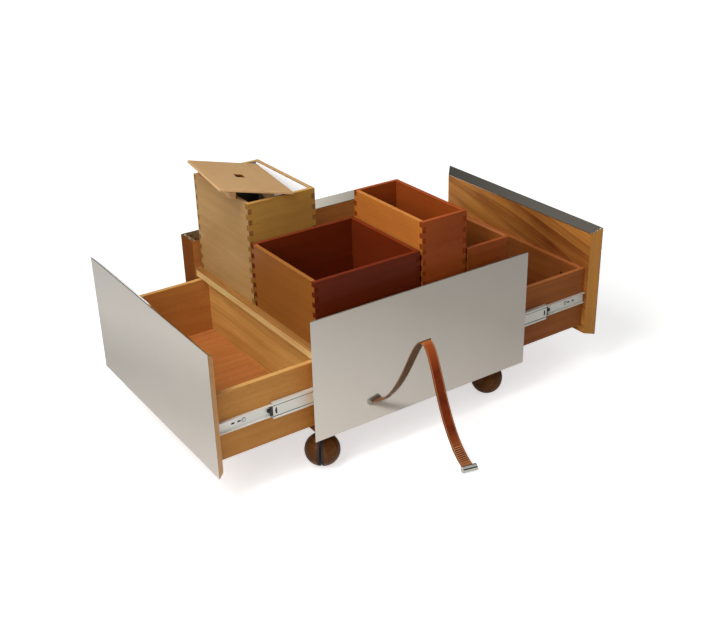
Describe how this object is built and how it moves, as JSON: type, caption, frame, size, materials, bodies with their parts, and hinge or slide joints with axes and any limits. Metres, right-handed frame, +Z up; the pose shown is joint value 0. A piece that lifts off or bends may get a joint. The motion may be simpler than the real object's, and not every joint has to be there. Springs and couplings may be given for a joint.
{
  "type": "bar cart",
  "caption": "Low square bar cart on ball casters: steel-faced panels, a drawer pulling out at each side, a leather pull strap and loose finger-jointed boxes on its deck.",
  "frame": {"origin": "on the floor, below the middle of the whole cart with both drawers open as in the picture", "axes": "+X to the right along the front panel, +Y from the front panel to the back, +Z up"},
  "size_m": [1.098, 0.8116, 0.5901],
  "materials": {
    "steel_sheet": "brushed, bonded over the panel's face and bevelled top edge",
    "panel_wood": "lacquered golden-brown veneer",
    "deck_wood": "lacquered red-brown veneer",
    "drawer_wood": "satin lacquer",
    "pale_wood": "satin lacquer",
    "red_wood": "satin lacquer",
    "amber_wood": "satin lacquer",
    "leather": "smooth tan leather",
    "chrome": "polished",
    "liner_steel": "bright rolled finish",
    "zinc": "zinc plated",
    "black_plastic": "moulded",
    "black_steel": "black powder coat",
    "walnut": "turned and lacquered",
    "tyre_rubber": "moulded grey rubber"
  },
  "bodies": {
    "cart": {"front_panel": "panel_wood", "front_skin": "steel_sheet", "back_panel": "panel_wood", "back_skin": "steel_sheet", "deck_board": "deck_wood", "deck_sheet": "deck_wood", "deck_edges": "deck_wood", "base_board": "deck_wood", "divider": "panel_wood", "cleats": "panel_wood", "cabinet_screws": "zinc", "slide_channels": "zinc", "strap_tail": "leather", "strap_anchor": "zinc", "caster_plates": "zinc"},
    "left_drawer": {"left_panel": "panel_wood", "left_skin": "steel_sheet", "left_sides": "drawer_wood", "left_ends": "drawer_wood", "left_bottom": "drawer_wood", "left_runners": "zinc", "left_latches": "black_plastic", "left_screws": "zinc"},
    "left_mids": {"left_mid_slides": "zinc", "left_ball_cages": "black_steel"},
    "right_drawer": {"right_panel": "panel_wood", "right_skin": "steel_sheet", "right_sides": "drawer_wood", "right_ends": "drawer_wood", "right_bottom": "drawer_wood", "right_runners": "zinc", "right_latches": "black_plastic", "right_screws": "zinc"},
    "right_mids": {"right_mid_slides": "zinc", "right_ball_cages": "black_steel"},
    "strap": {"pull_strap": "leather", "strap_bar": "chrome"},
    "lined_box": {"lined_walls": "pale_wood", "lined_bottom": "pale_wood", "steel_liner": "liner_steel"},
    "lid": {"box_lid": "pale_wood", "lid_battens": "pale_wood"},
    "wide_box": {"wide_walls": "red_wood", "wide_bottom": "red_wood"},
    "tall_box": {"tall_walls": "amber_wood", "tall_bottom": "amber_wood"},
    "low_box": {"low_walls": "amber_wood", "low_bottom": "amber_wood"},
    "swivel_1": {"swivel_1": "black_steel"},
    "wheel_1": {"ball_1": "walnut", "tyres_1": "tyre_rubber"},
    "swivel_2": {"swivel_2": "black_steel"},
    "wheel_2": {"ball_2": "walnut", "tyres_2": "tyre_rubber"},
    "swivel_3": {"swivel_3": "black_steel"},
    "wheel_3": {"ball_3": "walnut", "tyres_3": "tyre_rubber"},
    "swivel_4": {"swivel_4": "black_steel"},
    "wheel_4": {"ball_4": "walnut", "tyres_4": "tyre_rubber"}
  },
  "joints": [
    {"name": "left_drawer_slide", "type": "slide", "parent": "cart", "child": "left_drawer", "axis": [-1, 0, 0], "range_m": [-0.238, 0.016]},
    {"name": "left_mid_slide", "type": "slide", "parent": "cart", "child": "left_mids", "axis": [-1, 0, 0], "range_m": [-0.119, 0.008]},
    {"name": "right_drawer_slide", "type": "slide", "parent": "cart", "child": "right_drawer", "axis": [1, 0, 0], "range_m": [-0.25, 0.004]},
    {"name": "right_mid_slide", "type": "slide", "parent": "cart", "child": "right_mids", "axis": [1, 0, 0], "range_m": [-0.125, 0.002]},
    {"name": "strap_swing", "type": "hinge", "parent": "cart", "child": "strap", "pos_m": [-0.006, -0.20608, 0.245], "axis": [-1, 0, 0], "range_deg": [0, 60]},
    {"name": "lined_box_lift", "type": "slide", "parent": "cart", "child": "lined_box", "axis": [0, 0, 1], "range_m": [0, 0.3]},
    {"name": "lid_lift", "type": "slide", "parent": "lined_box", "child": "lid", "axis": [0, 0, 1], "range_m": [0, 0.2]},
    {"name": "wide_box_lift", "type": "slide", "parent": "cart", "child": "wide_box", "axis": [0, 0, 1], "range_m": [0, 0.09]},
    {"name": "tall_box_lift", "type": "slide", "parent": "cart", "child": "tall_box", "axis": [0, 0, 1], "range_m": [0, 0.3]},
    {"name": "low_box_lift", "type": "slide", "parent": "cart", "child": "low_box", "axis": [0, 0, 1], "range_m": [0, 0.3]},
    {"name": "swivel_1_turn", "type": "hinge", "parent": "cart", "child": "swivel_1", "pos_m": [-0.2605, -0.15558, 0.09], "axis": [0, 0, 1], "continuous": true},
    {"name": "wheel_1_spin", "type": "hinge", "parent": "swivel_1", "child": "wheel_1", "pos_m": [-0.27175, -0.16898, 0.039], "axis": [0.766, -0.6428, 0], "continuous": true},
    {"name": "swivel_2_turn", "type": "hinge", "parent": "cart", "child": "swivel_2", "pos_m": [0.2485, -0.15558, 0.09], "axis": [0, 0, 1], "continuous": true},
    {"name": "wheel_2_spin", "type": "hinge", "parent": "swivel_2", "child": "wheel_2", "pos_m": [0.23679, -0.14257, 0.039], "axis": [-0.7431, -0.6691, 0], "continuous": true},
    {"name": "swivel_3_turn", "type": "hinge", "parent": "cart", "child": "swivel_3", "pos_m": [-0.2605, 0.35342, 0.09], "axis": [0, 0, 1], "continuous": true},
    {"name": "wheel_3_spin", "type": "hinge", "parent": "swivel_3", "child": "wheel_3", "pos_m": [-0.27636, 0.34603, 0.039], "axis": [0.4226, -0.9063, 0], "continuous": true},
    {"name": "swivel_4_turn", "type": "hinge", "parent": "cart", "child": "swivel_4", "pos_m": [0.2485, 0.35342, 0.09], "axis": [0, 0, 1], "continuous": true},
    {"name": "wheel_4_spin", "type": "hinge", "parent": "swivel_4", "child": "wheel_4", "pos_m": [0.23773, 0.36721, 0.039], "axis": [-0.788, -0.6157, 0], "continuous": true}
  ],
  "couplings": [
    {"joint": "left_mid_slide", "follows": "left_drawer_slide", "ratio": 0.5},
    {"joint": "right_mid_slide", "follows": "right_drawer_slide", "ratio": 0.5}
  ]
}
